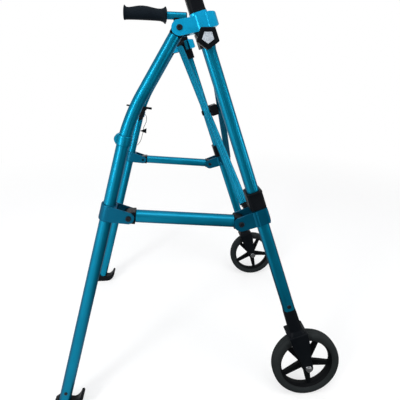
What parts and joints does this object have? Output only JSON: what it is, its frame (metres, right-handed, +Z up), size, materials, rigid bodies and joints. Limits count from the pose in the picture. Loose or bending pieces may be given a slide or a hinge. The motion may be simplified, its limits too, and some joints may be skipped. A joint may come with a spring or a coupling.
{
  "type": "two-wheeled walker",
  "caption": "Folding walking frame: front wheels in forks, rear glides, folding cross brace and side bars on sliding collars, height-adjustable handles with contoured grips.",
  "frame": {"origin": "on the floor, at the middle of the bounding box", "axes": "+Z up, +X forward (the wheels are in front), +Y to the user's left"},
  "size_m": [0.6348, 0.5118, 0.94],
  "materials": {
    "teal": "candy teal paint, glossy, metallic",
    "bracket_blue": "brighter blue paint, satin",
    "black_plastic": "moulded, satin black",
    "grip_rubber": "soft black, matt",
    "tyre_rubber": "dark grey, matt",
    "bolt_steel": "zinc plated",
    "dark_bolt": "blackened steel",
    "silver_insert": "speckled silver",
    "cord": "thin black cord"
  },
  "bodies": {
    "right_frame": {"right_front_leg": "teal", "right_upper_bracket": "bracket_blue", "right_upper_pivot_bolt": "dark_bolt", "right_top_collar": "black_plastic", "right_post_sleeve": "black_plastic", "right_fork": "black_plastic", "right_axle_bolt": "bolt_steel"},
    "right_wheel": {"right_wheel_rim": "black_plastic", "right_tyre": "tyre_rubber"},
    "right_handle": {"right_handle_post": "black_plastic", "right_handle_tube": "teal", "right_handle_grip": "grip_rubber"},
    "right_knob": {"right_height_knob": "black_plastic", "right_knob_insert": "silver_insert"},
    "right_back_leg": {"right_rear_leg": "teal", "right_rear_leg_eye": "black_plastic", "right_rear_sleeve": "teal", "right_rear_clevis_bolt": "dark_bolt", "right_glide": "black_plastic"},
    "right_slider": {"right_slide_collar": "black_plastic", "right_slide_bracket": "teal", "right_front_clevis_bolt": "dark_bolt"},
    "right_side_rail": {"right_side_bar": "teal", "right_side_bar_front_eye": "black_plastic", "right_side_bar_rear_eye": "black_plastic"},
    "left_frame": {"left_front_leg": "teal", "left_upper_bracket": "bracket_blue", "left_upper_pivot_bolt": "dark_bolt", "left_top_collar": "black_plastic", "left_post_sleeve": "black_plastic", "left_fork": "black_plastic", "left_axle_bolt": "bolt_steel"},
    "left_wheel": {"left_wheel_rim": "black_plastic", "left_tyre": "tyre_rubber"},
    "left_handle": {"left_handle_post": "black_plastic", "left_handle_tube": "teal", "left_handle_grip": "grip_rubber"},
    "left_knob": {"left_height_knob": "black_plastic", "left_knob_insert": "silver_insert"},
    "left_back_leg": {"left_rear_leg": "teal", "left_rear_leg_eye": "black_plastic", "left_rear_sleeve": "teal", "left_rear_clevis_bolt": "dark_bolt", "left_glide": "black_plastic", "fold_clip": "black_plastic", "pull_cord": "cord", "pull_tab": "black_plastic"},
    "left_slider": {"left_slide_collar": "black_plastic", "left_slide_bracket": "teal", "left_front_clevis_bolt": "dark_bolt"},
    "left_side_rail": {"left_side_bar": "teal", "left_side_bar_front_eye": "black_plastic", "left_side_bar_rear_eye": "black_plastic"},
    "front_brace": {"cross_bar_front": "teal", "cross_bar_front_top_eye": "black_plastic", "cross_bar_front_bottom_eye": "black_plastic", "cross_hub": "black_plastic"},
    "rear_brace": {"cross_bar_rear": "teal", "cross_bar_rear_top_eye": "black_plastic", "cross_bar_rear_bottom_eye": "black_plastic"}
  },
  "joints": [
    {"name": "brace_fold", "type": "hinge", "parent": "right_frame", "child": "front_brace", "pos_m": [0.02574, -0.192, 0.82481], "axis": [-0.9537, 0, -0.3007], "range_deg": [0, 28.94]},
    {"name": "brace_hub", "type": "hinge", "parent": "front_brace", "child": "rear_brace", "pos_m": [0.06834, 0, 0.62486], "axis": [-0.9537, 0, -0.3007], "range_deg": [-57.89, 0]},
    {"name": "left_frame_hang", "type": "hinge", "parent": "rear_brace", "child": "left_frame", "pos_m": [-0.01146, 0.192, 0.81308], "axis": [-0.9537, 0, -0.3007], "range_deg": [0, 28.94]},
    {"name": "right_slider_hang", "type": "hinge", "parent": "rear_brace", "child": "right_slider", "pos_m": [0.11093, -0.192, 0.42492], "axis": [-0.9537, 0, -0.3007], "range_deg": [0, 28.94]},
    {"name": "left_slider_hang", "type": "hinge", "parent": "front_brace", "child": "left_slider", "pos_m": [0.14813, 0.192, 0.43665], "axis": [-0.9537, 0, -0.3007], "range_deg": [-28.94, 0]},
    {"name": "right_back_leg_fold", "type": "hinge", "parent": "right_frame", "child": "right_back_leg", "pos_m": [-0.03171, -0.2225, 0.8025], "axis": [0, 1, 0], "range_deg": [-12.95, 0]},
    {"name": "right_side_rail_fold", "type": "hinge", "parent": "right_slider", "child": "right_side_rail", "pos_m": [0.08843, -0.2225, 0.41615], "axis": [0, 1, 0], "range_deg": [0, 31.2]},
    {"name": "right_wheel_spin", "type": "hinge", "parent": "right_frame", "child": "right_wheel", "pos_m": [0.24139, -0.2225, 0.076], "axis": [0, 1, 0], "continuous": true},
    {"name": "right_handle_height", "type": "slide", "parent": "right_frame", "child": "right_handle", "axis": [-0.3007, 0, 0.9537], "range_m": [0, 0.125]},
    {"name": "right_knob_turn", "type": "hinge", "parent": "right_frame", "child": "right_knob", "pos_m": [0.01857, -0.2225, 0.7827], "axis": [0, -1, 0], "range_deg": [0, 360]},
    {"name": "left_back_leg_fold", "type": "hinge", "parent": "left_frame", "child": "left_back_leg", "pos_m": [-0.03171, 0.2225, 0.8025], "axis": [0, 1, 0], "range_deg": [-12.95, 0]},
    {"name": "left_side_rail_fold", "type": "hinge", "parent": "left_slider", "child": "left_side_rail", "pos_m": [0.08843, 0.2225, 0.41615], "axis": [0, 1, 0], "range_deg": [0, 31.2]},
    {"name": "left_wheel_spin", "type": "hinge", "parent": "left_frame", "child": "left_wheel", "pos_m": [0.24139, 0.2225, 0.076], "axis": [0, 1, 0], "continuous": true},
    {"name": "left_handle_height", "type": "slide", "parent": "left_frame", "child": "left_handle", "axis": [-0.3007, 0, 0.9537], "range_m": [0, 0.125]},
    {"name": "left_knob_turn", "type": "hinge", "parent": "left_frame", "child": "left_knob", "pos_m": [0.01857, 0.2225, 0.7827], "axis": [0, 1, 0], "range_deg": [0, 360]}
  ],
  "couplings": [
    {"joint": "brace_hub", "follows": "brace_fold", "ratio": -2},
    {"joint": "left_frame_hang", "follows": "brace_fold", "ratio": 1},
    {"joint": "right_slider_hang", "follows": "brace_fold", "ratio": 1},
    {"joint": "left_slider_hang", "follows": "brace_fold", "ratio": -1},
    {"joint": "right_back_leg_fold", "follows": "brace_fold", "ratio": -0.44756},
    {"joint": "right_side_rail_fold", "follows": "brace_fold", "ratio": 1.0781},
    {"joint": "left_back_leg_fold", "follows": "brace_fold", "ratio": -0.44756},
    {"joint": "left_side_rail_fold", "follows": "brace_fold", "ratio": 1.0781}
  ]
}
